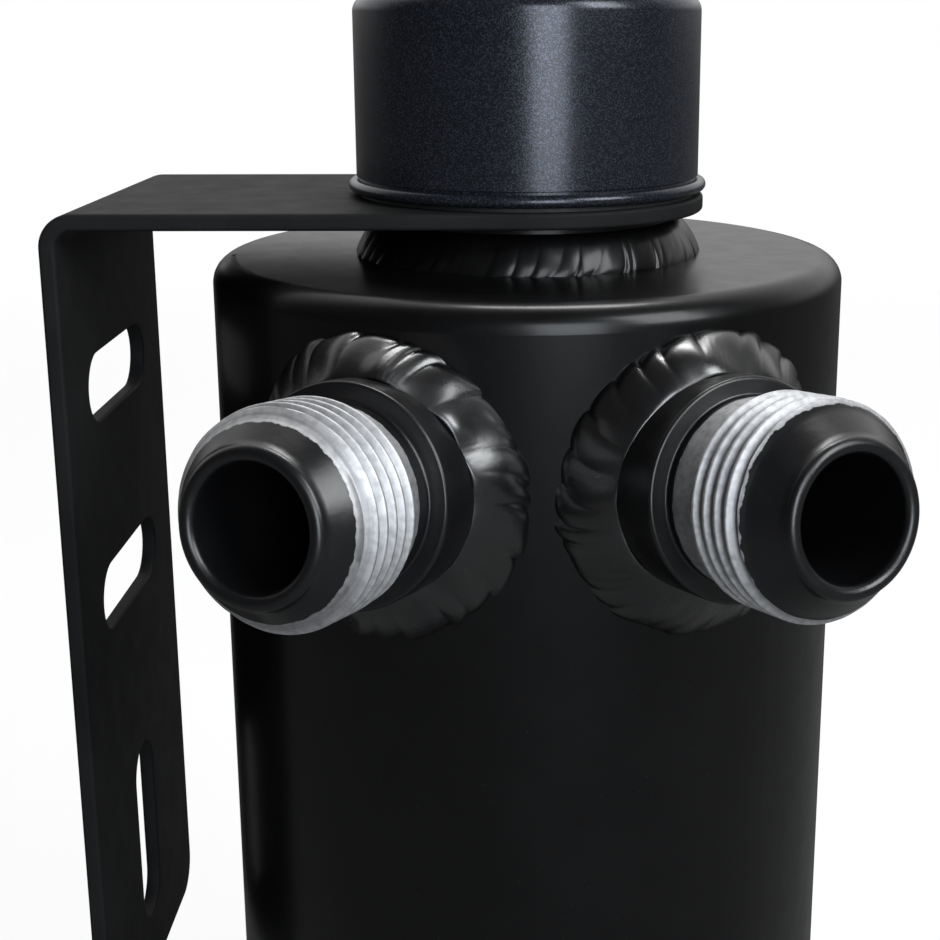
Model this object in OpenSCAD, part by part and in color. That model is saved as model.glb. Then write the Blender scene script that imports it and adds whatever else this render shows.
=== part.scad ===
// Oil catch can for an engine bay: a round welded can with two male flare
// fittings, a screw cap, and a bent plate bracket that the cap clamps.
// Frame: origin on the bracket leg's back face, midway between its two cross
// slots. +X runs from that face to the can, +Z is up, the fittings look to -Y.

/* [Can] */
// Outer diameter of the can
can_od = 80; // [74:1:100]
// Height of the can from its lower edge to its flat top
can_height = 140; // [125:1:190]
// Thickness of the can's wall and top
wall = 2; // [1.5:0.1:2.5]
// Inner radius of the rounded shoulder
shoulder_in_r = 1; // [0.5:0.1:3]
// Thickness of the base plate
base_t = 3; // [2:0.5:5]
// How far the base plate sits up inside the can's lower edge
base_recess = 1.5; // [1:0.1:3]
// Leg of the fillet weld round the base plate
base_weld_leg = 1.4; // [0.8:0.1:2]

/* [Neck] */
// Outer diameter of the threaded spigot that the cap screws on
spigot_od = 32; // [27:0.5:38]
// Height of the spigot above the neck's shoulder
spigot_height = 13.5; // [10:0.5:18]
// Thickness of the spigot's wall, thread included
spigot_wall = 3.5; // [2.5:0.1:5]
// How far the neck's shoulder stands out from the spigot
neck_step = 3; // [2:0.1:4.5]
// Height of the neck's shoulder above the can's top
neck_stand = 5.4; // [5:0.1:10]
// How far the pilot in the can's top is smaller than the spigot, in radius
pilot_step = 1; // [0.5:0.1:1.5]
// How far the pilot reaches below the can's top wall
pilot_reach = 2; // [1:0.5:4]
// Leg of the weld round the neck, along the can's top
neck_weld_leg = 3; // [2:0.1:4]
// Leg of that weld up the neck's side
neck_weld_rise = 4.6; // [1.8:0.1:4.8]
// Number of weld puddles round the neck
neck_puddles = 44; // [30:1:60]

/* [Cap] */
// Height of the cap, bead included
cap_height = 24; // [21:0.5:30]
// How far the bead at the cap's foot stands past the bracket's round end
cap_bead_over = 0.3; // [0.1:0.1:1.5]
// How far the bead stands out from the cap's side
cap_bead_out = 1; // [0.6:0.1:1.5]
// Thickness of the bead
cap_bead_t = 1.5; // [1:0.1:2.5]
// Radius of the cap's top edge
cap_edge_r = 2; // [1:0.1:4]
// Depth and height of the fine groove above the bead
cap_groove = 0.3; // [0.2:0.05:0.6]
// Section diameter of the seal ring inside the cap
seal_d = 2.6; // [2:0.1:2.8]
// Thickness of the flat washer between cap and bracket
clamp_washer_t = 0.5; // [0.4:0.1:2]

/* [Bracket] */
// Thickness of the bracket plate
plate_t = 2; // [1.5:0.1:3]
// Width of plate left beside the neck's spigot
ring_w = 6.4; // [5:0.1:9]
// Distance from the bracket's back face to the can's axis
reach = 56; // [52:0.5:70]
// Inside radius of the bend
bend_in_r = 2; // [1:0.1:4]
// Radius of the plate's softened edges
edge_r = 0.45; // [0.2:0.05:0.7]
// Length of each slot, end to end
slot_len = 26; // [16:0.5:32]
// Width of each slot
slot_w = 8.5; // [6:0.1:10]
// Drop from the plate's top to the first cross slot
first_slot_drop = 23.5; // [18:0.5:30]
// Spacing of the two cross slots
slot_pitch = 28; // [24:0.5:36]
// Drop from the second cross slot to the upright slot's centre
upright_slot_drop = 39; // [32:0.5:46]
// Length of plate below the last slot
leg_tail = 9; // [6:0.5:20]
// Corner radius at the leg's lower end
leg_corner_r = 5; // [2:0.5:10]

/* [Fittings] */
// Angle between each fitting and the plane midway between them
port_spread = 25; // [22:0.5:35]
// How far that plane is turned from the bracket's square
port_turn = 2.5; // [-5:0.5:10]
// How far the fittings point upward
port_rise = 7; // [0:0.5:12]
// Depth of the fitting axes below the can's top, at the can's wall
port_depth = 19.8; // [18.5:0.1:30]
// Diameter of the collar that is welded in
collar_od = 24; // [23.5:0.1:26]
// Distance from the can's wall to the collar's face
collar_stand = 10; // [8.5:0.5:14]
// Outer diameter of the flare thread (size 10, 7/8-14)
thread_od = 22.2; // [22:0.1:23]
// Length of the thread
thread_len = 9; // [7:0.5:12]
// Length of the relief between collar and thread
relief_len = 4.6; // [3:0.1:7]
// Diameter of the relief
relief_od = 19.9; // [18:0.1:21]
// Half angle of the flare nose
flare_angle = 37; // [30:1:45]
// Bore through the fitting
port_bore = 12.4; // [10:0.1:13.5]
// Radius of the nose's round lip
lip_r = 0.85; // [0.5:0.05:1.1]
// How far the fitting reaches inside the can's wall
port_inner = 2; // [1:0.5:4]
// Mean leg of the port weld along the can's wall
port_weld_leg = 5; // [3:0.1:5.2]
// Share by which that leg grows underneath and shrinks on top
port_weld_sag = 0.2; // [0:0.05:0.25]
// Share by which it shrinks between the fittings and grows outside
port_weld_lean = 0.3; // [0.2:0.05:0.35]
// Leg of the port weld along the collar
port_weld_rise = 5.2; // [3:0.1:6.5]
// Number of weld puddles round each fitting
port_puddles = 26; // [18:1:36]

/* [Drain] */
// Diameter of the drain boss
boss_od = 22; // [20:0.5:28]
// How far the boss stands out below the base plate
boss_stand = 6; // [4.5:0.5:10]
// How far the boss reaches up inside the can
boss_reach = 5; // [3:0.5:10]
// Outer diameter of the drain plug's thread
plug_thread_od = 14; // [12:0.5:16]
// Length of the drain plug's thread
plug_thread_len = 10; // [6:0.5:13]
// Hexagon of the drain plug, across flats
plug_hex = 17; // [15:0.5:19]
// Height of the drain plug's hexagon
plug_hex_h = 6; // [4:0.5:9]
// Thickness of the drain plug's flange
plug_flange_t = 2; // [1.5:0.1:3]
// How far the flange's rim stands out from the hexagon's flats
plug_rim = 2; // [1.8:0.1:3]
// Thickness of the drain plug's washer
drain_washer_t = 1.5; // [1:0.1:2.5]
// Leg of the weld round the drain boss
boss_weld_leg = 2.4; // [1.5:0.1:3]

/* [Baffle pack] */
// Height of the free space above the baffle pack
head_space = 44; // [38:1:55]
// Height of the wire packing
pack_height = 38; // [20:1:50]
// Spacing of the rolled wire mesh's turns
roll_pitch = 4; // [3:0.25:8]
// Thickness of the rolled wire mesh
roll_t = 0.6; // [0.5:0.1:1.2]
// Thickness of the screens and the divider
sheet_t = 1.5; // [1:0.1:2]
// Diameter of the screens' round holes
screen_hole = 5; // [3:0.25:6]
// Spacing of the screens' holes
screen_pitch = 8; // [7:0.25:12]
// Height of the ledge ring below the lower screen
ledge_h = 3; // [2:0.5:6]
// Radial width of the ledge ring
ledge_w = 3; // [2:0.25:5]
// Diameter of the centre bolt
bolt_d = 6; // [5:0.5:6]
// Outer diameter of the spacer tube round the bolt
spacer_od = 9; // [8:0.5:12]

/* [Clearances] */
// Radial clearance of parts that slip in or screw on
fit_gap = 0.05; // [0.02:0.01:0.1]
// Radial clearance of the bracket on the neck's spigot
swivel_gap = 0.1; // [0.05:0.01:0.1]
// Gap left round sheet parts inside the can
sheet_gap = 0.25; // [0.1:0.05:0.3]

/* [Hidden] */
$fn = 96;
black = [0.07, 0.07, 0.075];
bare = [0.75, 0.76, 0.78];
past = 1; // how far a cutter runs past a face
edge_chamfer = 1;
collar_edge = 0.4;

// Standard sizes of the centre bolt, its nut and washers
bolt_head = 10;
bolt_head_h = 4;
bolt_end = 8;
nut_h = 5;
bolt_washer_t = 1.2;
bolt_washer_od = 14;

// Half a weld bead's section, as shares of its leg and of its rise
bead_section = [[0, 1], [0.3, 0.87], [0.62, 0.6], [0.9, 0.26], [1, 0]];
bead_gap = 0.03;
scallop = 0.12;

// Radii and widths
neck_r = spigot_od / 2 + neck_step;
neck_bore_r = spigot_od / 2 - spigot_wall;
pilot_r = spigot_od / 2 - pilot_step;
plate_w = spigot_od + 2 * ring_w;
cap_bead_r = plate_w / 2 + cap_bead_over;
cap_r = cap_bead_r - cap_bead_out;

// Heights above the origin
arm_top = first_slot_drop + slot_pitch / 2;
can_top = arm_top - plate_t - neck_stand;
can_foot = can_top - can_height;
base_under = can_foot + base_recess;
upright_slot_z = -slot_pitch / 2 - upright_slot_drop;
leg_foot = upright_slot_z - slot_len / 2 - leg_tail;
can_r = can_od / 2;
bore_r = can_r - wall;
sheet_r = bore_r - sheet_gap;
shoulder_r = shoulder_in_r + wall;
spigot_top = can_top + neck_stand + spigot_height;
cap_foot = arm_top + clamp_washer_t;
cap_bore_r = spigot_od / 2 + fit_gap;
seal_inset = 0.4;
seal_r = spigot_od / 2 - seal_d / 2 - seal_inset;
seal_squeeze = 0.02;
seal_groove = seal_d * 0.4;
cap_ceiling = spigot_top + seal_d + seal_squeeze - seal_groove;
seal_level = cap_ceiling + seal_groove - seal_d / 2;
washer_inset = 0.4;
upper_screen_z = can_top - wall - head_space;
pack_top = upper_screen_z - sheet_t;
pack_foot = pack_top - pack_height;
lower_screen_z = pack_foot;
ledge_top = lower_screen_z - sheet_t;
plug_top = base_under - boss_stand;
bolt_under = upper_screen_z + bolt_washer_t;
nut_over = ledge_top - bolt_washer_t;
bolt_len = bolt_under - nut_over + bolt_end;

// Stations along a fitting's axis, counted from the can's axis
port_face = can_r + collar_stand;
thread_start = port_face + relief_len;
thread_end = thread_start + thread_len;
thread_depth = (thread_od - relief_od) / 2;
lead_in = 0.6; // slope of the thread's ends, as shares of its depth
lead_out = 0.8;
nose_step = 0.15;
nose_r = relief_od / 2 + nose_step;
nose_tip_r = port_bore / 2 + 2 * lip_r;
nose_end = thread_end + (nose_r - nose_tip_r) / tan(flare_angle);
port_tip = nose_end + lip_r;
port_end = bore_r - port_inner;
axis_level = can_top - port_depth - can_r * tan(port_rise);

module at_can() translate([reach, 0, 0]) children();

// Stands a shape drawn up +Z on a fitting's axis
module at_port(side)
    at_can() translate([0, 0, axis_level])
        rotate([0, 0, port_turn + side * port_spread])
            rotate([90 - port_rise, 0, 0]) children();

module ring(r_out, r_in, h) rotate_extrude()
    translate([r_in, 0]) square([r_out - r_in, h]);

// Half section of a round body with a rounded top edge
module domed_half(r, h, edge) {
    square([r - edge, h]);
    square([r, h - edge]);
    translate([r - edge, h - edge]) intersection() {
        circle(edge);
        square(edge);
    }
}

module hexagon(af, h) cylinder(d = af / cos(30), h = h, $fn = 6);

// A weld bead round a tube of radius r. surf(rho, a) is the height of the face
// it lies on, leg(a) its width on that face and rise its height up the tube.
module bead(r, leg, rise, puddles, surf, steps) {
    foot = r + bead_gap;
    n = puddles * steps;
    puff = function(i) 1 - scallop + scallop * abs(sin(180 * i / steps));
    section = function(i, a) let (w = leg(a) * puff(i)) concat(
        [[foot, surf(foot, a) + 2 * bead_gap]],
        [for (p = bead_section)
            let (rho = foot + w * p[0])
                [rho, surf(rho, a) + 2 * bead_gap + rise * puff(i) * p[1]]],
        [[foot + w / 2, surf(foot + w / 2, a) + 2 * bead_gap]]
    );
    m = len(bead_section) + 2;
    points = [for (i = [0:n - 1])
        let (a = 360 * i / n)
            for (q = section(i, a)) [q[0] * cos(a), q[0] * sin(a), q[1]]];
    faces = [for (i = [0:n - 1], j = [0:m - 1])
        let (here = i * m, next = (i + 1) % n * m, k = (j + 1) % m)
            for (f = [[here + j, here + k, next + k], [here + j, next + k, next + j]]) f];
    polyhedron(points = points, faces = faces, convexity = 6);
}

// Can
module can_shell() color(black) difference() {
    at_can() translate([0, 0, can_foot]) rotate_extrude() difference() {
        domed_half(can_r, can_height, shoulder_r);
        translate([0, -past])
            domed_half(bore_r, can_height - wall + past, shoulder_in_r);
    }
    at_can() translate([0, 0, can_top - wall - past])
        cylinder(r = pilot_r + fit_gap, h = wall + 2 * past);
    for (side = [-1, 1]) at_port(side)
        cylinder(r = collar_od / 2 + fit_gap, h = port_face);
}

module base_plate() color(black) at_can() translate([0, 0, base_under])
    ring(bore_r - fit_gap, boss_od / 2 + fit_gap, base_t);

module base_weld() color(black) at_can() rotate_extrude()
    polygon([
        [bore_r, base_under],
        [bore_r, base_under - base_weld_leg],
        [bore_r - base_weld_leg * 0.45, base_under - base_weld_leg * 0.72],
        [bore_r - base_weld_leg, base_under]
    ]);

// Neck
module neck_bung() color(black) at_can() rotate_extrude() difference() {
    union() {
        translate([0, can_top - wall - pilot_reach])
            square([pilot_r, wall + pilot_reach + past]);
        translate([0, can_top]) square([neck_r, neck_stand]);
        polygon([
            [0, can_top],
            [spigot_od / 2, can_top],
            [spigot_od / 2, spigot_top - edge_chamfer],
            [spigot_od / 2 - edge_chamfer, spigot_top],
            [0, spigot_top]
        ]);
    }
    translate([-past, can_foot]) square([neck_bore_r + past, can_height * 2]);
}

module neck_weld() color(black) at_can() translate([0, 0, can_top])
    bead(neck_r, function(a) neck_weld_leg, neck_weld_rise, neck_puddles,
        function(rho, a) 0, 3);

// Fittings
module fitting() rotate_extrude() difference() {
    union() {
        translate([0, port_end])
            square([collar_od / 2, port_face - port_end - collar_edge]);
        translate([0, port_face - past]) square([collar_od / 2 - collar_edge, past]);
        translate([collar_od / 2 - collar_edge, port_face - collar_edge])
            circle(collar_edge, $fn = 32);
        translate([0, port_face - past])
            square([relief_od / 2, relief_len + thread_len]);
        polygon([
            [0, thread_start],
            [relief_od / 2, thread_start],
            [thread_od / 2, thread_start + thread_depth * lead_in],
            [thread_od / 2, thread_end - thread_depth * lead_out],
            [nose_r, thread_end],
            [nose_tip_r, nose_end],
            [0, nose_end]
        ]);
        translate([nose_tip_r - lip_r, nose_end]) circle(lip_r, $fn = 48);
    }
    translate([-past, 0]) square([port_bore / 2 + past, port_tip * 2]);
}

// Height of the can's wall along a fitting's axis, rho out from that axis
wall_along = function(rho, a)
    (sqrt(can_r * can_r - pow(rho * cos(a), 2)) + rho * sin(a) * sin(port_rise))
    / cos(port_rise);

module port_weld(side) bead(collar_od / 2,
    function(a) port_weld_leg
        * (1 - port_weld_sag * sin(a) + side * port_weld_lean * cos(a)),
    port_weld_rise, port_puddles, wall_along, 4);

module inlet_fitting() color(bare) at_port(-1) fitting();
module outlet_fitting() color(bare) at_port(1) fitting();
module inlet_weld() color(black) at_port(-1) port_weld(-1);
module outlet_weld() color(black) at_port(1) port_weld(1);

// Drain
module drain_boss() color(black) at_can() translate([0, 0, plug_top])
    ring(boss_od / 2, plug_thread_od / 2 + fit_gap, boss_stand + base_t + boss_reach);

module drain_weld() color(black) at_can() rotate_extrude()
    polygon([
        [boss_od / 2, base_under],
        [boss_od / 2, base_under - boss_weld_leg],
        [boss_od / 2 + boss_weld_leg * 0.55, base_under - boss_weld_leg * 0.62],
        [boss_od / 2 + boss_weld_leg, base_under]
    ]);

module drain_washer() color([0.7, 0.42, 0.25]) at_can()
    translate([0, 0, plug_top - drain_washer_t])
        ring(plug_hex / 2 + plug_rim - washer_inset, plug_thread_od / 2 + 2 * fit_gap, drain_washer_t);

module drain_plug() color(bare) at_can()
    translate([0, 0, plug_top - drain_washer_t]) {
        shank = drain_washer_t + plug_thread_len - edge_chamfer;
        translate([0, 0, -plug_flange_t])
            cylinder(r = plug_hex / 2 + plug_rim, h = plug_flange_t);
        translate([0, 0, -plug_flange_t - plug_hex_h])
            hexagon(plug_hex, plug_hex_h + plug_flange_t / 2);
        translate([0, 0, -plug_flange_t / 2])
            cylinder(d = plug_thread_od, h = shank + plug_flange_t / 2);
        translate([0, 0, shank])
            cylinder(d1 = plug_thread_od, d2 = plug_thread_od - 2 * edge_chamfer,
                h = edge_chamfer);
    }

// Bracket
// Section of the plate, thickness along x and width along y, edges softened
module plate_section() {
    translate([0, -plate_w / 2 + edge_r]) square([plate_t, plate_w - 2 * edge_r]);
    translate([edge_r, -plate_w / 2]) square([plate_t - 2 * edge_r, plate_w]);
    for (x = [edge_r, plate_t - edge_r], y = [-1, 1])
        translate([x, y * (plate_w / 2 - edge_r)]) circle(edge_r, $fn = 32);
}

module slot(z, upright) translate([-past, 0, z]) rotate([upright ? 90 : 0, 0, 0]) {
    straight = slot_len - slot_w;
    deep = plate_t + 2 * past;
    translate([0, -straight / 2, -slot_w / 2]) cube([deep, straight, slot_w]);
    for (y = [-1, 1]) translate([0, y * straight / 2, 0]) rotate([0, 90, 0])
        cylinder(d = slot_w, h = deep);
}

// Outline of the leg, through the plate, with its lower corners rounded
module leg_outline() {
    deep = plate_t + 2 * past;
    translate([-past, -plate_w / 2, leg_foot + leg_corner_r])
        cube([deep, plate_w, arm_top - leg_foot]);
    translate([-past, -plate_w / 2 + leg_corner_r, leg_foot])
        cube([deep, plate_w - 2 * leg_corner_r, leg_corner_r + past]);
    for (y = [-1, 1])
        translate([-past, y * (plate_w / 2 - leg_corner_r), leg_foot + leg_corner_r])
            rotate([0, 90, 0]) cylinder(r = leg_corner_r, h = deep);
}

module bracket() color(black) {
    bend_r = bend_in_r + plate_t;
    difference() {
        union() {
            // leg
            intersection() {
                translate([0, 0, leg_foot]) linear_extrude(arm_top - bend_r - leg_foot)
                    plate_section();
                leg_outline();
            }
            // bend
            translate([bend_r, 0, arm_top - bend_r]) rotate([90, 0, 0])
                rotate([0, 0, 90]) rotate_extrude(angle = 90)
                    translate([bend_in_r, 0]) plate_section();
            // arm
            translate([bend_r, 0, arm_top]) rotate([0, 90, 0])
                linear_extrude(reach - bend_r) plate_section();
            // round end under the cap
            at_can() translate([0, 0, arm_top - plate_t]) rotate([0, 0, -90])
                rotate_extrude(angle = 180) {
                    translate([0, edge_r]) square([plate_w / 2, plate_t - 2 * edge_r]);
                    square([plate_w / 2 - edge_r, plate_t]);
                    for (z = [edge_r, plate_t - edge_r])
                        translate([plate_w / 2 - edge_r, z]) circle(edge_r, $fn = 32);
                }
        }
        at_can() translate([0, 0, arm_top - plate_t - past])
            cylinder(r = spigot_od / 2 + swivel_gap, h = plate_t + 2 * past);
        slot(slot_pitch / 2, false);
        slot(-slot_pitch / 2, false);
        slot(upright_slot_z, true);
    }
}

// Cap
module clamp_washer() color([0.05, 0.05, 0.05]) at_can() translate([0, 0, arm_top])
    ring(cap_r - washer_inset, spigot_od / 2 + swivel_gap, clamp_washer_t);

module cap() color([0.13, 0.135, 0.15]) at_can() rotate_extrude() difference() {
    union() {
        translate([0, cap_foot]) domed_half(cap_r, cap_height, cap_edge_r);
        translate([0, cap_foot]) square([cap_bead_r - cap_bead_t / 2, cap_bead_t]);
        translate([cap_bead_r - cap_bead_t / 2, cap_foot + cap_bead_t / 2])
            circle(cap_bead_t / 2, $fn = 48);
    }
    translate([cap_r - cap_groove, cap_foot + cap_bead_t])
        square([cap_groove + past, cap_groove]);
    translate([-past, cap_foot - past])
        square([cap_bore_r + past, cap_ceiling - cap_foot + past]);
    translate([seal_r, seal_level]) circle(seal_d / 2 + fit_gap);
    polygon([
        [0, cap_foot - past],
        [cap_bore_r + edge_chamfer + past, cap_foot - past],
        [cap_bore_r, cap_foot + edge_chamfer],
        [0, cap_foot + edge_chamfer]
    ]);
}

module cap_seal() color([0.03, 0.03, 0.03]) at_can() translate([0, 0, seal_level])
    rotate_extrude() translate([seal_r, 0]) circle(seal_d / 2);

// Baffle pack
module screen(z) at_can() translate([0, 0, z - sheet_t]) linear_extrude(sheet_t)
    difference() {
        circle(sheet_r);
        circle(bolt_d / 2 + fit_gap);
        n = ceil(sheet_r / screen_pitch);
        for (i = [-n:n], j = [-n:n]) {
            x = (i + j / 2) * screen_pitch;
            y = j * screen_pitch * sin(60);
            d = sqrt(x * x + y * y);
            if (d < sheet_r - ledge_w - screen_hole / 2 && d > bolt_washer_od / 2)
                translate([x, y]) circle(screen_hole / 2, $fn = 24);
        }
    }

module upper_screen() color(bare) screen(upper_screen_z);
module lower_screen() color(bare) screen(lower_screen_z);

// A strip of wire mesh rolled up round the spacer tube
module wire_pack() color([0.6, 0.6, 0.6]) at_can() translate([0, 0, pack_foot]) {
    steps = 20;
    core = spacer_od / 2 + fit_gap;
    turns = floor((sheet_r - core - roll_t) / roll_pitch);
    coil = function(r, i) let (a = 360 * i / steps, q = r + roll_pitch * i / steps)
        [q * cos(a), q * sin(a)];
    linear_extrude(pack_height) polygon(concat(
        [for (i = [0:turns * steps]) coil(core, i)],
        [for (i = [turns * steps:-1:0]) coil(core + roll_t, i)]
    ));
}

module ledge_ring() color(bare) at_can() translate([0, 0, ledge_top - ledge_h])
    ring(bore_r - fit_gap, bore_r - ledge_w, ledge_h);

module divider() color(bare) at_can() rotate([0, 0, port_turn])
    difference() {
        wide = sheet_t + 2 * past;
        translate([-sheet_t / 2, -sheet_r, upper_screen_z])
            cube([sheet_t, 2 * sheet_r, head_space - shoulder_in_r]);
        translate([-wide / 2, -pilot_r - past, can_top - wall - pilot_reach - past])
            cube([wide, 2 * (pilot_r + past), pilot_reach + wall + past]);
        translate([-wide / 2, -bolt_washer_od / 2 - past, upper_screen_z - past])
            cube([wide, bolt_washer_od + 2 * past, bolt_washer_t + bolt_head_h + 2 * past]);
    }

module spacer_tube() color(bare) at_can() translate([0, 0, pack_foot])
    ring(spacer_od / 2, bolt_d / 2 + fit_gap, pack_height);

module centre_bolt() color(bare) at_can() translate([0, 0, bolt_under]) {
    hexagon(bolt_head, bolt_head_h);
    translate([0, 0, -bolt_len]) cylinder(d = bolt_d, h = bolt_len + bolt_head_h / 2);
}

module bolt_washers() color(bare) at_can()
    for (z = [upper_screen_z, nut_over]) translate([0, 0, z])
        ring(bolt_washer_od / 2, bolt_d / 2 + fit_gap, bolt_washer_t);

module centre_nut() color(bare) at_can() translate([0, 0, nut_over - nut_h])
    difference() {
        hexagon(bolt_head, nut_h);
        translate([0, 0, -past])
            cylinder(r = bolt_d / 2 + fit_gap, h = nut_h + 2 * past);
    }

can_shell();
base_plate();
base_weld();
neck_bung();
neck_weld();
inlet_fitting();
inlet_weld();
outlet_fitting();
outlet_weld();
drain_boss();
drain_weld();
drain_washer();
drain_plug();
bracket();
clamp_washer();
cap();
cap_seal();
divider();
upper_screen();
wire_pack();
lower_screen();
ledge_ring();
spacer_tube();
centre_bolt();
bolt_washers();
centre_nut();
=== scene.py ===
import math

import bmesh
import bpy
from mathutils import Matrix, Vector, noise


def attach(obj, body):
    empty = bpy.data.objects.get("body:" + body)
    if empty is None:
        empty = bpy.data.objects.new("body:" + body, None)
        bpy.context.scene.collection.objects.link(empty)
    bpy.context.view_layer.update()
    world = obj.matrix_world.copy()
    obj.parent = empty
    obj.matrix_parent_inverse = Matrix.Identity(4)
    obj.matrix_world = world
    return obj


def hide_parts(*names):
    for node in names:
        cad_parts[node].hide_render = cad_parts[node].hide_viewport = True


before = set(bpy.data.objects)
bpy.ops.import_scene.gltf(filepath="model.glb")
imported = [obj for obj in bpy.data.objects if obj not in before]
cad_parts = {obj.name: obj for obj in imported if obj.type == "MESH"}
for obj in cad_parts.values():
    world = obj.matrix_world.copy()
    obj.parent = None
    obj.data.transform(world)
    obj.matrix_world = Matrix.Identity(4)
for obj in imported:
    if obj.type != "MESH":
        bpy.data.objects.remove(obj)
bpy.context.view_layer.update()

# Can shell
# One drawn aluminium shell: wall, rounded shoulder and flat top, with holes
# for the neck and the two fittings. Powder coated satin black all over.
MM = 0.001
CAN_R = 40
SHOULDER_R = 3
CAN_TOP = 30.1
CAN_AXIS = Matrix.Translation((0.056, 0, 0))
CLOUD_GRAIN = 9
GLOSS_GRAIN = 4
PEEL_GRAIN = 1.1
NIB_GRAIN = 0.35
NIB_COLOUR = (0.012, 0.012, 0.013)
SKIN_ROUGHNESS = 0.2


def wire(tree, source, target):
    tree.links.new(source, target)


def new_finish(name):
    finish = bpy.data.materials.new(name)
    finish.use_nodes = True
    tree = finish.node_tree
    shader = tree.nodes["Principled BSDF"]
    place = tree.nodes.new("ShaderNodeTexCoord")
    return finish, tree, shader, place.outputs["Object"]


def mottle(tree, place, grain, detail):
    """Cloudy values from 0 to 1 whose patches are about grain millimetres wide."""
    cloud = tree.nodes.new("ShaderNodeTexNoise")
    cloud.inputs["Scale"].default_value = 1 / (grain * MM)
    cloud.inputs["Detail"].default_value = detail
    wire(tree, place, cloud.inputs["Vector"])
    return cloud.outputs["Fac"]


def spread(tree, value, low, high, to_low, to_high):
    """The value between low and high, spread over to_low to to_high."""
    ranger = tree.nodes.new("ShaderNodeMapRange")
    for socket, number in zip(("From Min", "From Max", "To Min", "To Max"), (low, high, to_low, to_high)):
        ranger.inputs[socket].default_value = number
    wire(tree, value, ranger.inputs["Value"])
    return ranger.outputs["Result"]


def blend_colours(tree, share, first, second):
    """Goes from the first colour to the second as share goes from 0 to 1."""
    mixer = tree.nodes.new("ShaderNodeMix")
    mixer.data_type = "RGBA"
    wire(tree, share, mixer.inputs["Factor"])
    for socket, colour in ((mixer.inputs[6], first), (mixer.inputs[7], second)):
        if isinstance(colour, tuple):
            socket.default_value = (*colour, 1)
        else:
            wire(tree, colour, socket)
    return mixer.outputs[2]


def relief(tree, shader, height, depth):
    """Shades the surface as if height, from 0 to 1, raised it by up to depth millimetres."""
    bump = tree.nodes.new("ShaderNodeBump")
    bump.inputs["Distance"].default_value = depth * MM
    wire(tree, height, bump.inputs["Height"])
    wire(tree, bump.outputs["Normal"], shader.inputs["Normal"])


def powder_coat(name, dark, light, smooth, rough, shine, peel_depth=0.012, skin_gloss=0.0):
    """Baked powder: a faint orange peel, cloudy gloss, a smooth skin and a few dust nibs."""
    finish, tree, shader, place = new_finish(name)
    shader.inputs["Specular IOR Level"].default_value = shine
    shader.inputs["Coat Weight"].default_value = skin_gloss
    shader.inputs["Coat Roughness"].default_value = SKIN_ROUGHNESS
    cloud = mottle(tree, place, CLOUD_GRAIN, 3)
    nibs = spread(tree, mottle(tree, place, NIB_GRAIN, 1), 0.74, 0.78, 0, 1)
    body_colour = blend_colours(tree, spread(tree, cloud, 0.35, 0.65, 0, 1), dark, light)
    wire(tree, blend_colours(tree, nibs, body_colour, NIB_COLOUR), shader.inputs["Base Color"])
    gloss = spread(tree, mottle(tree, place, GLOSS_GRAIN, 4), 0.3, 0.7, smooth, rough)
    wire(tree, gloss, shader.inputs["Roughness"])
    relief(tree, shader, mottle(tree, place, PEEL_GRAIN, 2), peel_depth)
    return finish


def dress(piece, finish):
    """Every slot of a piece's mesh gets the finish."""
    if not piece.data.materials:
        piece.data.materials.append(finish)
    for number in range(len(piece.data.materials)):
        piece.data.materials[number] = finish


can_coat = powder_coat("can_coat", (0.0016, 0.0016, 0.0018), (0.0024, 0.0024, 0.0026), 0.34, 0.4,
                       shine=0.12, skin_gloss=0.3)
for node in ("can_shell", "base_plate"):
    dress(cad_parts[node], can_coat)

# Base weld
# The fillet round the recessed base plate, laid in one pass and coated with
# the can. It faces the ground.
weld_coat = powder_coat("weld_coat", (0.002, 0.002, 0.0023), (0.003, 0.003, 0.0034), 0.25, 0.32,
                        shine=1.0, peel_depth=0.02)
dress(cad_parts["base_weld"], weld_coat)

# Neck
# One turned aluminium piece: a pilot in the can's top, a broad shoulder that
# carries the bracket and a threaded spigot for the cap.
NECK_R = 19
dress(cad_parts["neck_bung"], can_coat)

# Neck weld
# A fillet round the neck in a neat row of small overlapping puddles, from the
# can's top nearly up to the bracket, coated over with the can.
NECK_WELD_LEG = 3
NECK_WELD_RISE = 4.6
NECK_PUDDLES = 52
PUDDLE_RINGS = 20
BEAD_ROWS = 21
PUDDLE_PACE = 0.16
PUDDLE_DRIFT = 0.9
PUDDLE_TRAIL = 1.6
PUDDLE_FRONT = 0.75
PUDDLE_CROWN = 0.7
LUMP_PACE = 0.8
BEAD_BITE = 0.06
ROOT_BITE = 0.15
TOE_BITE = 0.35


def show(name, mesh, finish, body, slot, *nodes):
    """Puts a piece in the scene, on its body and in its CAD nodes' place."""
    piece = bpy.data.objects.new(name, mesh)
    bpy.context.scene.collection.objects.link(piece)
    dress(piece, finish)
    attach(piece, body)
    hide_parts(*nodes)
    return piece


def skin(name, rings, place, crease):
    """A closed mesh through rings of points, each ring joined to the next and the last to the first."""
    points = [place @ (Vector(p) * MM) for ring in rings for p in ring]
    count, size = len(rings), len(rings[0])
    faces = []
    for i in range(count):
        after = (i + 1) % count
        for j in range(size):
            k = (j + 1) % size
            faces.append((i * size + j, i * size + k, after * size + k, after * size + j))
    mesh = bpy.data.meshes.new(name)
    mesh.from_pydata(points, [], faces)
    solid = bmesh.new()
    solid.from_mesh(mesh)
    bmesh.ops.recalc_face_normals(solid, faces=solid.faces)
    solid.to_mesh(mesh)
    solid.free()
    mesh.shade_smooth()
    mesh.set_sharp_from_angle(angle=math.radians(crease))
    return mesh


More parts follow.
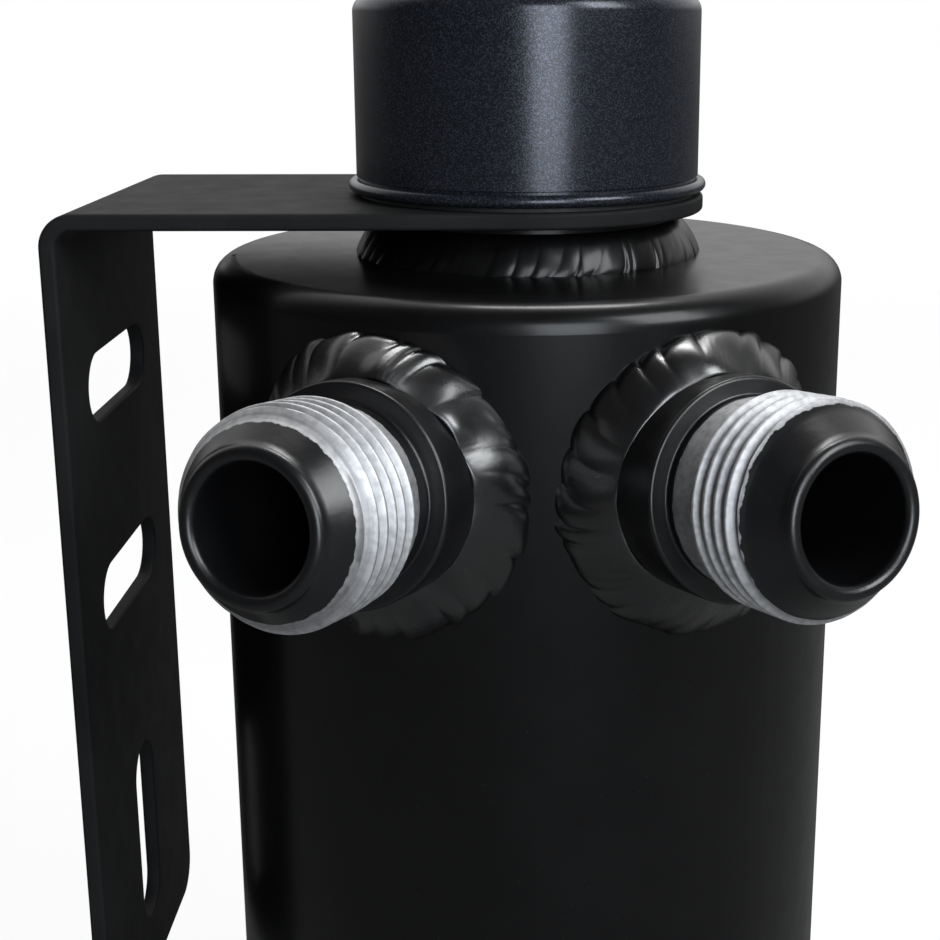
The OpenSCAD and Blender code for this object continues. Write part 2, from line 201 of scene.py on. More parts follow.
def laid_bead(name, tube_r, leg, rise, puddles, floor_at, place,
              hollow, lip, lumps, folds, scallop, ripples, seed):
    """A weld bead round a tube, in millimetres.

    floor_at(rho, a) is the height of the face it lies on and leg(a) its width there. hollow sinks the
    section, lip is the height of the steep toe and lumps that of the swellings. folds, scallop and
    ripples say how far each puddle shows in the swellings, in the toe's outline and in fine waves.
    """
    rings = []
    for i in range(puddles * PUDDLE_RINGS):
        a = math.tau * i / (puddles * PUDDLE_RINGS)
        spot = Vector((math.cos(a), math.sin(a), 0)) * puddles * PUDDLE_PACE
        drift = noise.noise(spot * PUDDLE_DRIFT + Vector((0, 0, seed))) * PUDDLE_DRIFT
        ring = []
        for row in range(BEAD_ROWS):
            t = row / (BEAD_ROWS - 1)
            toe = (1 - t) ** 2
            phase = puddles * a / math.tau + drift - PUDDLE_TRAIL * t + t * t
            size = 0.8 + 1.2 * noise.noise(Vector((math.floor(phase) % puddles * 3.7, 0.5, seed)))
            through = (phase % 1) ** PUDDLE_FRONT
            dome = size * math.sin(math.pi * through) ** PUDDLE_CROWN - 0.5
            swell = noise.noise(spot * LUMP_PACE + Vector((0, 0, 1.2 * t + seed)))
            rippled = max(0, noise.noise(spot * LUMP_PACE + Vector((5, 0, seed))))
            wave = ripples * rippled * math.sin(math.tau * 4 * through)
            bulge = lumps * (folds * dome * toe + swell + wave) * math.sin(math.pi * (0.1 + 0.75 * t))
            width = leg(a) * (1 + scallop * dome * toe)
            turn = t * math.pi / 2
            slant = math.hypot(width, rise)
            rho = tube_r + width * math.cos(turn) ** hollow + bulge * rise / slant
            step = lip * math.sin(min(1, t * 5) * math.pi / 2) * (1 - t)
            up = rise * math.sin(turn) ** hollow + step + bulge * width / slant - BEAD_BITE
            ring.append((rho * math.cos(a), rho * math.sin(a), floor_at(rho, a) + up))
        for rho, up in ((tube_r - ROOT_BITE, rise * 0.9 - 0.1), (tube_r + leg(a) * 0.8, -TOE_BITE)):
            ring.append((rho * math.cos(a), rho * math.sin(a), floor_at(rho, a) + up))
        rings.append(ring)
    return skin(name, rings, place, 60)


can_top_place = CAN_AXIS @ Matrix.Translation((0, 0, CAN_TOP * MM))
neck_weld = laid_bead(
    "neck_weld_bead", NECK_R, lambda a: NECK_WELD_LEG, NECK_WELD_RISE, NECK_PUDDLES,
    lambda rho, a: 0, can_top_place,
    hollow=1.5, lip=0.1, lumps=0.14, folds=1.0, scallop=0.05, ripples=0, seed=3)
show("neck_weld_bead", neck_weld, can_coat, "can", "weld_coat", "neck_weld")

# Inlet and outlet fittings
# Two alike, turned from aluminium bar: a collar, a relief, a size 10 flare
# thread and a 37 degree nose. The thread was masked and left bare; the collar,
# the nose and the bore are coated, with the ragged edge that masking leaves.
PORT_TURN = 2.5
PORT_SPREAD = 25
PORT_RISE = math.radians(7)
PORT_DEPTH = 19.8
PORT_LEVEL = CAN_TOP - PORT_DEPTH - CAN_R * math.tan(PORT_RISE)
COLLAR_R = 12
COLLAR_EDGE = 0.4
COLLAR_FACE = 50
COLLAR_ROWS = (40, 44, 47)
PORT_INNER_END = 36
RELIEF_R = 9.95
RELIEF_ROWS = (0.7, 1.2, 2.4, 3.6, 4.4)
ROOT_FILLET = 0.3
THREAD_START = 54.6
THREAD_END = 63.6
THREAD_R = 11.1
THREAD_ROOT_R = 9.99
THREAD_PITCH = 25.4 / 14
LEAD_IN = 0.69
LEAD_OUT = 0.92
NOSE_R = 10.1
NOSE_TIP_R = 7.9
NOSE_END = THREAD_END + (NOSE_R - NOSE_TIP_R) / math.tan(math.radians(37))
LIP_R = 0.85
PORT_BORE_R = 6.2
PORT_BORE_ROWS = (64, 60, 52, 44, PORT_INNER_END)
PORT_STEPS = 192
PITCH_ROWS = 24
NOSE_ROWS = 6
BARE_START = 51.8
BARE_END = 64.0
BARE_EDGE = 0.06
BARE_RAGGED = 0.6
BARE_SHIFT = 0.5
# Painted light: the unthreaded bare metal, the relief and the nose, gets a fixed level between root and
# crest, lighter than the shade in the relief leaves it.
UNTHREADED_SHEEN = 0.6


def port_place(side):
    return (CAN_AXIS @ Matrix.Translation((0, 0, PORT_LEVEL * MM))
            @ Matrix.Rotation(math.radians(PORT_TURN + side * PORT_SPREAD), 4, "Z")
            @ Matrix.Rotation(math.pi / 2 - PORT_RISE, 4, "X"))


def arc(centre_r, centre_h, radius, start, end, steps):
    """Profile points (radius, height) on an arc, angles in degrees from the outward direction."""
    turns = [math.radians(start + (end - start) * i / steps) for i in range(steps + 1)]
    return [(centre_r + radius * math.cos(t), centre_h + radius * math.sin(t)) for t in turns]


def thread_radius(height, turn):
    """A right-hand 60 degree thread with flat crests, run out at both ends."""
    along = (height / THREAD_PITCH - turn / math.tau) % 1
    off_crest = abs(along - 0.5) * THREAD_PITCH
    flank = THREAD_R - math.sqrt(3) * max(0, off_crest - THREAD_PITCH / 14)
    ends = min(
        RELIEF_R + (height - THREAD_START) * (THREAD_R - RELIEF_R) / LEAD_IN,
        NOSE_R + (THREAD_END - height) * (THREAD_R - NOSE_R) / LEAD_OUT)
    return min(max(flank, THREAD_ROOT_R), ends)


def fitting_mesh(name, place, mask_shift):
    """One fitting. Its points carry their station along the axis and their height on the thread, which
    the finish turns into painted highlight on the crests and darker roots, partly dirt and partly painted
    shade.
    """
    outline = [(COLLAR_R, PORT_INNER_END)]
    outline += [(COLLAR_R, h) for h in COLLAR_ROWS]
    outline += arc(COLLAR_R - COLLAR_EDGE, COLLAR_FACE - COLLAR_EDGE, COLLAR_EDGE, 0, 90, 6)
    outline += arc(RELIEF_R + ROOT_FILLET, COLLAR_FACE + ROOT_FILLET, ROOT_FILLET, 270, 180, 5)
    outline += [(RELIEF_R, COLLAR_FACE + h) for h in RELIEF_ROWS]
    rows = round((THREAD_END - THREAD_START) / THREAD_PITCH * PITCH_ROWS)
    outline += [(None, THREAD_START + (THREAD_END - THREAD_START) * i / rows) for i in range(rows + 1)]
    outline += [(NOSE_R + (NOSE_TIP_R - NOSE_R) * i / NOSE_ROWS,
                 THREAD_END + (NOSE_END - THREAD_END) * i / NOSE_ROWS) for i in range(1, NOSE_ROWS)]
    outline += arc(NOSE_TIP_R - LIP_R, NOSE_END, LIP_R, 0, 180, 14)
    masked = [h + mask_shift for _, h in outline] + [NOSE_END + 1 for _ in PORT_BORE_ROWS]
    outline += [(PORT_BORE_R, h) for h in PORT_BORE_ROWS]
    rings = []
    crest_sheen_root_dirt_and_shade = []
    for i in range(PORT_STEPS):
        turn = math.tau * i / PORT_STEPS
        radii = [r or thread_radius(h, turn) for r, h in outline]
        rings.append([(r * math.cos(turn), r * math.sin(turn), h) for r, (_, h) in zip(radii, outline)])
        # Height on the thread, 0 in the roots and 1 on the crests, for painted highlight and painted
        # shade; unthreaded points get the fixed painted light level.
        crest_sheen_root_dirt_and_shade += [UNTHREADED_SHEEN if given else (r - THREAD_ROOT_R) / (THREAD_R - THREAD_ROOT_R)
                 for r, (given, _) in zip(radii, outline)]
    mesh = skin(name, rings, place, 62)
    mesh.attributes.new("station", "FLOAT", "POINT").data.foreach_set("value", masked * PORT_STEPS)
    mesh.attributes.new("crest_sheen_root_dirt_and_shade", "FLOAT", "POINT").data.foreach_set("value", crest_sheen_root_dirt_and_shade)
    return mesh


def times_plus(tree, value, factor, added):
    """value * factor + added, where factor is a number or a socket."""
    node = tree.nodes.new("ShaderNodeMath")
    node.operation = "MULTIPLY_ADD"
    for source, target in zip((value, factor, added), node.inputs):
        if isinstance(source, (int, float)):
            target.default_value = source
        else:
            wire(tree, source, target)
    return node.outputs[0]


def masked_coat(name):
    """Bare turned metal between two ragged paint edges, powder coat elsewhere. The bare thread has
    painted highlight on its crests and darker roots, partly dirt and partly painted shade.
    """
    finish, tree, shader, place = new_finish(name)
    station = tree.nodes.new("ShaderNodeAttribute")
    station.attribute_name = "station"
    crest_sheen_node = tree.nodes.new("ShaderNodeAttribute")
    crest_sheen_node.attribute_name = "crest_sheen_root_dirt_and_shade"
    ragged = times_plus(tree, mottle(tree, place, 1.1, 5), BARE_RAGGED, station.outputs["Fac"])
    begun = spread(tree, ragged, BARE_START, BARE_START + BARE_EDGE, 0, 1)
    bare = times_plus(tree, begun, spread(tree, ragged, BARE_END, BARE_END + BARE_EDGE, 1, 0), 0)
    turned = tree.nodes.new("ShaderNodeTexNoise")
    turned.noise_dimensions = "1D"
    turned.inputs["Scale"].default_value = 5
    turned.inputs["Detail"].default_value = 3
    wire(tree, station.outputs["Fac"], turned.inputs["W"])
    lines = spread(tree, turned.outputs["Fac"], 0.3, 0.7, 0, 1)
    # Painted highlight on the crests; the roots are darker, partly dirt and partly painted shade.
    crest = spread(tree, crest_sheen_node.outputs["Fac"], 0.35, 0.95, 0, 1)
    smudge = spread(tree, mottle(tree, place, 0.8, 6), 0.4, 0.7, 0, 0.55)
    dull = blend_colours(tree, lines, (0.34, 0.34, 0.35), (0.46, 0.46, 0.47))
    bright = blend_colours(tree, crest, dull, (0.6, 0.6, 0.61))
    metal = blend_colours(tree, smudge, bright, (0.24, 0.24, 0.25))
    wire(tree, blend_colours(tree, bare, (0.004, 0.004, 0.0045), metal), shader.inputs["Base Color"])
    wire(tree, bare, shader.inputs["Metallic"])
    coat_gloss = spread(tree, mottle(tree, place, 3, 4), 0.3, 0.7, 0.28, 0.36)
    wire(tree, times_plus(tree, bare, 0.26, coat_gloss), shader.inputs["Roughness"])
    relief(tree, shader, mottle(tree, place, 0.7, 5), 0.014)
    return finish


fitting_finish = masked_coat("masked_fitting")
for name, side in (("inlet", -1), ("outlet", 1)):
    fitting = fitting_mesh(name + "_flare_fitting", port_place(side), BARE_SHIFT * side)
    show(name + "_flare_fitting", fitting, fitting_finish, "can", "fitting", name + "_fitting")

# Port welds
# A heavy fillet round each collar where it meets the can's wall, laid in big
# overlapping puddles: wide below and on the outer side, narrow on top and
# between the fittings, coated over with the can.
PORT_WELD_LEG = 5
PORT_WELD_SAG = 0.2
PORT_WELD_LEAN = 0.3
PORT_WELD_RISE = 5.2
PORT_PUDDLES = 25


def can_wall_at(rho, a):
    """Where the line at rho and angle a along a port's axis leaves the can, shoulder included."""
    radius = CAN_R
    for _ in range(4):
        along = (math.sqrt(radius ** 2 - (rho * math.cos(a)) ** 2)
                 + rho * math.sin(a) * math.sin(PORT_RISE)) / math.cos(PORT_RISE)
        level = PORT_LEVEL + along * math.sin(PORT_RISE) + rho * math.sin(a) * math.cos(PORT_RISE)
        over = min(max(0, level - (CAN_TOP - SHOULDER_R)), SHOULDER_R * 0.98)
        radius = CAN_R - SHOULDER_R + math.sqrt(SHOULDER_R ** 2 - over ** 2)
    return along


for name, side in (("inlet", -1), ("outlet", 1)):
    port_weld = laid_bead(
        name + "_weld_bead", COLLAR_R,
        lambda a: PORT_WELD_LEG * (1 - PORT_WELD_SAG * math.sin(a) + side * PORT_WELD_LEAN * math.cos(a)),
        PORT_WELD_RISE, PORT_PUDDLES, can_wall_at, port_place(side),
        hollow=1.65, lip=0.45, lumps=0.7, folds=0.45, scallop=0.12, ripples=0.06, seed=5 + side)
    show(name + "_weld_bead", port_weld, weld_coat, "can", "weld_coat", name + "_weld")

# Drain boss, its weld and washer
# A threaded boss welded into the base plate, coated with the can. The drain
# plug seals against it on a soft copper ring.
METAL_GRAIN = 1.2
METAL_TEXTURE = 0.01
dress(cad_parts["drain_boss"], can_coat)
dress(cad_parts["drain_weld"], weld_coat)


def bare_metal(name, bright, dull, smooth, rough):
    """Uncoated metal, slightly stained and handled."""
    finish, tree, shader, place = new_finish(name)
    stain = spread(tree, mottle(tree, place, METAL_GRAIN * 4, 4), 0.35, 0.7, 0, 1)
    wire(tree, blend_colours(tree, stain, bright, dull), shader.inputs["Base Color"])
    shader.inputs["Metallic"].default_value = 1
    gloss = spread(tree, mottle(tree, place, METAL_GRAIN, 3), 0.3, 0.7, smooth, rough)
    wire(tree, gloss, shader.inputs["Roughness"])
    relief(tree, shader, mottle(tree, place, METAL_GRAIN * 0.4, 2), METAL_TEXTURE)
    return finish


soft_copper = bare_metal("soft_copper", (0.72, 0.36, 0.22), (0.45, 0.2, 0.13), 0.3, 0.45)
dress(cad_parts["drain_washer"], soft_copper)

# Drain plug
# A zinc plated steel hexagon plug with a round flange and chamfered corners,
# screwed up into the boss.
BOSS_FOOT = -114.4
DRAIN_WASHER_T = 1.5
PLUG_FLANGE_R = 10.5
PLUG_FLANGE_T = 2
PLUG_FLANGE_TOP = BOSS_FOOT - DRAIN_WASHER_T
PLUG_FLANGE_FOOT = PLUG_FLANGE_TOP - PLUG_FLANGE_T
PLUG_HEX_H = 6
PLUG_HEX_AF = 17
PLUG_FOOT = PLUG_FLANGE_FOOT - PLUG_HEX_H
PLUG_DISH_R = 6.2
PLUG_DISH = 1.2
PLUG_DISH_EDGE = 0.4
PLUG_CORNERS = ((8.45, 0), (9.0, 0.25), (9.45, 0.6), (9.9, 1.1))
PLUG_CORNER_R = 9.9
PLUG_SHANK_R = 7
PLUG_SHANK_TOP = PLUG_FLANGE_TOP + 11.5
PLUG_SHANK_EDGE = 1
PLUG_CORE_R = 1
PLUG_STEPS = 144
PLUG_CREASE = 30
zinc_plate = bare_metal("zinc_plate", (0.66, 0.67, 0.68), (0.52, 0.53, 0.56), 0.24, 0.4)


def hexagon_radius(turn, corner_r):
    """Distance from the axis to a hexagon's side, its corners turned down to corner_r."""
    off = (turn + math.pi / 6) % (math.pi / 3) - math.pi / 6
    return min(PLUG_HEX_AF / 2 / math.cos(off), corner_r)


def close_axis(mesh, core_r, crease):
    """Takes out the narrow wall round the can's axis and closes the two holes it leaves."""
    solid = bmesh.new()
    solid.from_mesh(mesh)
    reach = (core_r + 0.01) * MM
    near = {v for v in solid.verts if (v.co - CAN_AXIS.translation).xy.length < reach}
    core = [f for f in solid.faces if near.issuperset(f.verts)]
    bmesh.ops.delete(solid, geom=core, context="FACES")
    bmesh.ops.holes_fill(solid, edges=[e for e in solid.edges if e.is_boundary])
    bmesh.ops.recalc_face_normals(solid, faces=solid.faces)
    solid.to_mesh(mesh)
    solid.free()
    mesh.set_sharp_from_angle(angle=math.radians(crease))


plug_rings = []
for i in range(PLUG_STEPS):
    turn = math.tau * i / PLUG_STEPS
    outline = [(PLUG_CORE_R, PLUG_FOOT + PLUG_DISH), (PLUG_DISH_R, PLUG_FOOT + PLUG_DISH),
               (PLUG_DISH_R + PLUG_DISH_EDGE, PLUG_FOOT)]
    outline += [(hexagon_radius(turn, corner_r), PLUG_FOOT + up) for corner_r, up in PLUG_CORNERS]
    outline += [(hexagon_radius(turn, PLUG_CORNER_R), PLUG_FLANGE_FOOT - 0.1),
                (PLUG_FLANGE_R - 0.5, PLUG_FLANGE_FOOT), (PLUG_FLANGE_R - 0.15, PLUG_FLANGE_FOOT + 0.15),
                (PLUG_FLANGE_R, PLUG_FLANGE_FOOT + 0.5), (PLUG_FLANGE_R, PLUG_FLANGE_TOP - 0.3),
                (PLUG_FLANGE_R - 0.3, PLUG_FLANGE_TOP), (PLUG_SHANK_R, PLUG_FLANGE_TOP),
                (PLUG_SHANK_R, PLUG_SHANK_TOP - PLUG_SHANK_EDGE),
                (PLUG_SHANK_R - PLUG_SHANK_EDGE, PLUG_SHANK_TOP), (PLUG_CORE_R, PLUG_SHANK_TOP)]
    plug_rings.append([(r * math.cos(turn), r * math.sin(turn), h) for r, h in outline])
plug_mesh = skin("drain_plug_body", plug_rings, CAN_AXIS, PLUG_CREASE)
close_axis(plug_mesh, PLUG_CORE_R, PLUG_CREASE)
show("drain_plug_body", plug_mesh, zinc_plate, "drain_plug", "zinc_steel", "drain_plug")

# Bracket
# One strip of 2 mm plate, cut with three slots and a ring for the neck, its
# edges softened, bent square and coated on its own before the can goes in.
PLATE_T = 2
PLATE_HALF_W = 22.4
PLATE_EDGE = 0.45
RING_HOLE_R = 16.1
BEND_IN_R = 2
ARM_TOP = 37.5
LEG_FOOT = -75
LEG_CORNER_R = 5
SLOT_HALF_W = 4.25
SLOT_HALF_RUN = 8.75
CROSS_SLOTS = (14, -14)
UPRIGHT_SLOT = -53
BEND_CUTS = 16
BEND_MID_R = BEND_IN_R + PLATE_T / 2
BEND_RUN = BEND_MID_R * math.pi / 2
BEND_X = BEND_IN_R + PLATE_T
BEND_Z = ARM_TOP - BEND_X


def leg_run(z):
    """Distance along the flat strip, from the start of the bend, of a level on the leg."""
    return BEND_RUN + BEND_Z - z


def round_the_bend(run, across, height):
    """A point of the flat strip in its place on the bent bracket."""
    if run <= 0:
        return BEND_X - run, across, ARM_TOP - PLATE_T / 2 + height
    if run >= BEND_RUN:
        return PLATE_T / 2 - height, across, BEND_Z - (run - BEND_RUN)
    turn = run / BEND_MID_R
    radius = BEND_MID_R + height
    return BEND_X - radius * math.sin(turn), across, BEND_Z + radius * math.cos(turn)


ring_run = BEND_X - CAN_AXIS.translation.x / MM
end_run = leg_run(LEG_FOOT)
outline = arc(ring_run, 0, PLATE_HALF_W, 90, 270, 72)
outline += arc(end_run - LEG_CORNER_R, LEG_CORNER_R - PLATE_HALF_W, LEG_CORNER_R, 270, 360, 12)
outline += arc(end_run - LEG_CORNER_R, PLATE_HALF_W - LEG_CORNER_R, LEG_CORNER_R, 0, 90, 12)
slots = []
for z in CROSS_SLOTS:
    slots.append(arc(leg_run(z), SLOT_HALF_RUN, SLOT_HALF_W, 0, 180, 24)
                 + arc(leg_run(z), -SLOT_HALF_RUN, SLOT_HALF_W, 180, 360, 24))
slots.append(arc(leg_run(UPRIGHT_SLOT) + SLOT_HALF_RUN, 0, SLOT_HALF_W, -90, 90, 24)
             + arc(leg_run(UPRIGHT_SLOT) - SLOT_HALF_RUN, 0, SLOT_HALF_W, 90, 270, 24))
slots.append(arc(ring_run, 0, RING_HOLE_R, 0, 357, 120))

flat_strip = bpy.data.curves.new("flat_strip", "CURVE")
flat_strip.dimensions = "2D"
flat_strip.fill_mode = "BOTH"
flat_strip.extrude = PLATE_T / 2 - PLATE_EDGE
flat_strip.bevel_depth = PLATE_EDGE
flat_strip.bevel_resolution = 3
flat_strip.offset = -PLATE_EDGE
for edge in [outline, *slots]:
    spline = flat_strip.splines.new("POLY")
    spline.points.add(len(edge) - 1)
    for point, (run, across) in zip(spline.points, edge):
        point.co = (run, across, 0, 1)
    spline.use_cyclic_u = True
strip = bpy.data.objects.new("flat_strip", flat_strip)
bpy.context.scene.collection.objects.link(strip)
bpy.context.view_layer.update()
bracket_mesh = bpy.data.meshes.new_from_object(strip.evaluated_get(bpy.context.evaluated_depsgraph_get()))
bracket_mesh.name = "bent_bracket"
bpy.data.objects.remove(strip)
solid = bmesh.new()
solid.from_mesh(bracket_mesh)
bmesh.ops.remove_doubles(solid, verts=solid.verts, dist=1e-4)
for step in range(BEND_CUTS + 1):
    cut = BEND_RUN * step / BEND_CUTS
    bmesh.ops.bisect_plane(solid, geom=[*solid.verts, *solid.edges, *solid.faces], dist=1e-5,
                           plane_co=(cut, 0, 0), plane_no=(1, 0, 0))
for vert in solid.verts:
    vert.co = Vector(round_the_bend(*vert.co)) * MM
bmesh.ops.recalc_face_normals(solid, faces=solid.faces)
solid.to_mesh(bracket_mesh)
solid.free()
bracket_mesh.shade_smooth()
bracket_mesh.set_sharp_from_angle(angle=math.radians(50))
bracket_coat = powder_coat("bracket_coat", (0.009, 0.009, 0.0092), (0.012, 0.012, 0.0123), 0.56, 0.64,
                           shine=0.08)
bracket = show("bent_bracket", bracket_mesh, bracket_coat, "bracket", "bracket_coat", "bracket")
even = bracket.modifiers.new("even_shading", "WEIGHTED_NORMAL")
even.keep_sharp = True
even.weight = 100

# Clamp washer
# A thin ring cut from black rubber sheet, laid between the cap and the
# bracket so that the cap can be tightened without marking the coat.


def rubber(name):
    """Dull black rubber with a cloudy surface."""
    finish, tree, shader, place = new_finish(name)
    cloud = mottle(tree, place, 2, 4)
    black = blend_colours(tree, cloud, (0.006, 0.006, 0.006), (0.014, 0.014, 0.014))
    wire(tree, black, shader.inputs["Base Color"])
    wire(tree, spread(tree, mottle(tree, place, 1, 3), 0.3, 0.7, 0.5, 0.7), shader.inputs["Roughness"])
    relief(tree, shader, mottle(tree, place, 0.4, 3), 0.02)
    return finish


black_rubber = rubber("black_rubber")
dress(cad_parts["clamp_washer"], black_rubber)

# Cap
# A turned aluminium screw cap with a rounded top edge and a bead at its foot,
# in a satin dark coat with a fine metal flake. It clamps the bracket.
CAP_FOOT = 38
CAP_TOP = 62
CAP_R = 21.7
CAP_EDGE_R = 2
CAP_WALL_ROWS = (45, 50, 55)
CAP_TOP_ROWS = (16, 10, 4)
CAP_BEAD_T = 1.5
CAP_BEAD_R = 22.7
CAP_GROOVE = 0.3
CAP_CHAMFER = (0.08, 0.1)
CAP_BORE_R = 16.05
CAP_CEILING = 50.58
CAP_CORE_R = 0.5
CAP_STEPS = 256
CAP_CREASE = 35
FLAKE_SIZE = 0.13


def flaked_coat(name):
    """Dark satin lacquer over fine flakes that each catch the light their own way."""
    finish, tree, shader, place = new_finish(name)
    flakes = tree.nodes.new("ShaderNodeTexVoronoi")
    flakes.inputs["Scale"].default_value = 1 / (FLAKE_SIZE * MM)
    wire(tree, place, flakes.inputs["Vector"])
    pick = tree.nodes.new("ShaderNodeSeparateColor")
    wire(tree, flakes.outputs["Color"], pick.inputs["Color"])
    lit = spread(tree, pick.outputs["Red"], 0.55, 1, 0, 1)
    base = blend_colours(tree, spread(tree, mottle(tree, place, 7, 3), 0.35, 0.65, 0, 1),
                         (0.013, 0.0145, 0.019), (0.016, 0.0175, 0.023))
    wire(tree, blend_colours(tree, lit, base, (0.046, 0.052, 0.074)), shader.inputs["Base Color"])
    wire(tree, spread(tree, pick.outputs["Green"], 0, 1, 0.4, 0.6), shader.inputs["Metallic"])
    wire(tree, spread(tree, pick.outputs["Blue"], 0, 1, 0.21, 0.27), shader.inputs["Roughness"])
    relief(tree, shader, pick.outputs["Red"], 0.002)
    return finish


bead_centre_r = CAP_BEAD_R - CAP_BEAD_T / 2
bead_top = CAP_FOOT + CAP_BEAD_T
groove_top = bead_top + CAP_GROOVE
outline = [(CAP_BORE_R, CAP_FOOT + 1), (CAP_BORE_R + 1, CAP_FOOT), (bead_centre_r, CAP_FOOT)]
outline += arc(bead_centre_r, CAP_FOOT + CAP_BEAD_T / 2, CAP_BEAD_T / 2, -90, 90, 14)[1:]
outline += [(CAP_R - CAP_GROOVE, bead_top), (CAP_R - CAP_GROOVE, groove_top),
            (CAP_R - CAP_CHAMFER[0], groove_top), (CAP_R, groove_top + CAP_CHAMFER[1])]
outline += [(CAP_R, h) for h in CAP_WALL_ROWS]
outline += arc(CAP_R - CAP_EDGE_R, CAP_TOP - CAP_EDGE_R, CAP_EDGE_R, 0, 90, 12)
outline += [(r, CAP_TOP) for r in (*CAP_TOP_ROWS, CAP_CORE_R)]
outline += [(CAP_CORE_R, CAP_CEILING), (CAP_BORE_R, CAP_CEILING)]
cap_rings = []
for i in range(CAP_STEPS):
    turn = math.tau * i / CAP_STEPS
    cap_rings.append([(r * math.cos(turn), r * math.sin(turn), h) for r, h in outline])
cap_mesh = skin("screw_cap", cap_rings, CAN_AXIS, CAP_CREASE)
close_axis(cap_mesh, CAP_CORE_R, CAP_CREASE)
show("screw_cap", cap_mesh, flaked_coat("cap_coat"), "cap", "cap_coat", "cap")

# Cap seal
# A ring of the same rubber, pressed into the cap's ceiling, that seals on the
# spigot's end.
dress(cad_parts["cap_seal"], black_rubber)

# Baffle pack
# Bare aluminium sheet and a roll of knitted wire, held by a zinc plated bolt.
# The divider sends the gas down through the packing and up again.
WEAVE_SIZE = 0.9
bare_sheet = bare_metal("bare_sheet", (0.72, 0.73, 0.75), (0.58, 0.59, 0.61), 0.3, 0.5)
for node in ("divider", "upper_screen", "lower_screen", "ledge_ring", "spacer_tube"):
    dress(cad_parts[node], bare_sheet)


def wire_mesh(name):
    """Knitted wire seen as a weave on the rolled strip."""
    finish, tree, shader, place = new_finish(name)
    weave = tree.nodes.new("ShaderNodeTexVoronoi")
    weave.inputs["Scale"].default_value = 1 / (WEAVE_SIZE * MM)
    weave.feature = "DISTANCE_TO_EDGE"
    wire(tree, place, weave.inputs["Vector"])
    # Painted shade: the cells between the strands are near black, standing in for the shade in the
    # openings of the knit.
    strand = spread(tree, weave.outputs["Distance"], 0.03, 0.16, 1, 0)
    metal = blend_colours(tree, strand, (0.02, 0.02, 0.02), (0.55, 0.55, 0.56))
    wire(tree, metal, shader.inputs["Base Color"])
    wire(tree, strand, shader.inputs["Metallic"])
    shader.inputs["Roughness"].default_value = 0.4
    relief(tree, shader, strand, 0.15)
    return finish


dress(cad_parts["wire_pack"], wire_mesh("rolled_mesh"))
for node in ("centre_bolt", "bolt_washers", "centre_nut"):
    dress(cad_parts[node], zinc_plate)

# Studio
# A pale floor under a white surround that is dim on the camera's side, and
# three softboxes: right of the camera, further right and higher, and high
# behind the can. The camera stands at the photograph's viewing angle.
FLOOR_Z = -0.1239
FLOOR_HALF = 4
FLOOR_NEAR = 0.4
FLOOR_FAR = 0.9
FLOOR_COLOUR = (0.15, 0.15, 0.15)
FLOOR_GLOW = 0.88
FRONT_DIM = 0.05
HORIZON_DIM = 0.12
AMBIENT = 0.06
LAMP_DISTANCE = 1.0
LAMP_AIM = Vector((0.056, 0, 0))

floor_mesh = bpy.data.meshes.new("floor")
corners = [(x * FLOOR_HALF, y * FLOOR_HALF, FLOOR_Z) for x, y in ((-1, -1), (1, -1), (1, 1), (-1, 1))]
floor_mesh.from_pydata(corners, [], [(0, 1, 2, 3)])
floor = bpy.data.objects.new("floor", floor_mesh)
bpy.context.scene.collection.objects.link(floor)


def larger(tree, first, second):
    node = tree.nodes.new("ShaderNodeMath")
    node.operation = "MAXIMUM"
    wire(tree, first, node.inputs[0])
    wire(tree, second, node.inputs[1])
    return node.outputs[0]


def backdrop_share(tree, value, low, high):
    """How brightly the backdrop shows.

    1 where the camera looks, FRONT_DIM to 1 with the value where a mirror or glass ray looks, and 0
    for the light that falls on the part.
    """
    path = tree.nodes.new("ShaderNodeLightPath").outputs
    seen = larger(tree, path["Is Camera Ray"], path["Is Glossy Ray"])
    seen = larger(tree, seen, path["Is Transmission Ray"])
    lit = larger(tree, spread(tree, value, low, high, FRONT_DIM, 1), path["Is Camera Ray"])
    return times_plus(tree, seen, lit, 0)


floor_paint, tree, shader, place = new_finish("floor_paint")
shader.inputs["Roughness"].default_value = 0.9
shader.inputs["Specular IOR Level"].default_value = 0
shader.inputs["Emission Color"].default_value = (1, 1, 1, 1)
length = tree.nodes.new("ShaderNodeVectorMath")
length.operation = "LENGTH"
wire(tree, place, length.inputs[0])
far = spread(tree, length.outputs["Value"], FLOOR_NEAR, FLOOR_FAR, 0, 1)
wire(tree, blend_colours(tree, far, FLOOR_COLOUR, (0, 0, 0)), shader.inputs["Base Color"])
glow = times_plus(tree, backdrop_share(tree, far, 0.2, 12), spread(tree, far, 0, 1, FLOOR_GLOW, 1), 0)
wire(tree, glow, shader.inputs["Emission Strength"])
floor_mesh.materials.append(floor_paint)

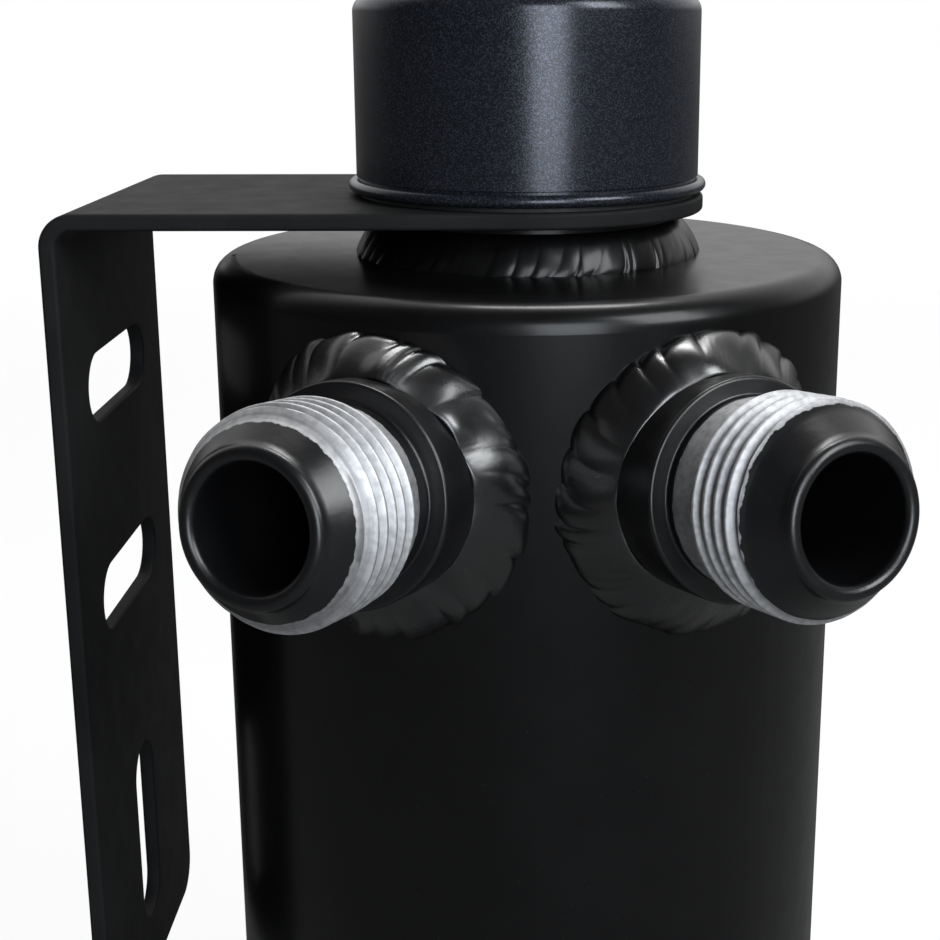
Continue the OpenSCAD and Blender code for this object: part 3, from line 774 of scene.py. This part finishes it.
world = bpy.data.worlds.new("studio")
bpy.context.scene.world = world
world.use_nodes = True
tree = world.node_tree
sky = tree.nodes["Background"]
sky.inputs["Color"].default_value = (1, 1, 1, 1)
look = tree.nodes.new("ShaderNodeSeparateXYZ")
wire(tree, tree.nodes.new("ShaderNodeTexCoord").outputs["Generated"], look.inputs[0])
behind = spread(tree, look.outputs["Y"], 0.05, 0.5, 0, 1)
above = spread(tree, look.outputs["Z"], 0, 0.2, HORIZON_DIM, 1)
share = backdrop_share(tree, times_plus(tree, behind, above, 0), 0, 1)
ambient = tree.nodes.new("ShaderNodeValue").outputs[0]
ambient.default_value = AMBIENT
wire(tree, larger(tree, share, ambient), sky.inputs["Strength"])


def soft_light(name, azimuth, elevation, width, height, watts, tint):
    """A softbox that faces the can. Azimuth is counted from the camera's side towards the right."""
    lamp = bpy.data.lights.new(name, "AREA")
    lamp.shape = "RECTANGLE"
    lamp.size, lamp.size_y = width, height
    lamp.energy = watts
    lamp.color = tint
    light = bpy.data.objects.new(name, lamp)
    bpy.context.scene.collection.objects.link(light)
    turn, lift = math.radians(azimuth), math.radians(elevation)
    away = Vector((math.sin(turn) * math.cos(lift), -math.cos(turn) * math.cos(lift), math.sin(lift)))
    light.location = LAMP_AIM + away * LAMP_DISTANCE
    light.rotation_mode = "QUATERNION"
    light.rotation_quaternion = (-away).to_track_quat("-Z", "Y")


soft_light("tall_softbox", 14, 14, 0.4, 0.7, 7, (0.88, 0.94, 1))
soft_light("window_softbox", 52, 34, 0.4, 0.6, 8, (0.95, 0.98, 1))
soft_light("back_softbox", 168, 68, 0.42, 0.2, 5, (1, 1, 1))

camera_data = bpy.data.cameras.new("camera")
camera_data.sensor_width = 36
camera_data.lens = 56.845
camera_data.shift_x = -0.0617
camera_data.shift_y = -0.1106
camera_data.clip_start = 0.01
camera = bpy.data.objects.new("camera", camera_data)
camera.location = (0.056412, -0.190544, 0.059264)
camera.rotation_euler = (math.radians(90 - 13.23), math.radians(0.096), math.radians(0.083))
bpy.context.scene.collection.objects.link(camera)
bpy.context.scene.camera = camera
bpy.context.scene.view_settings.view_transform = "Standard"
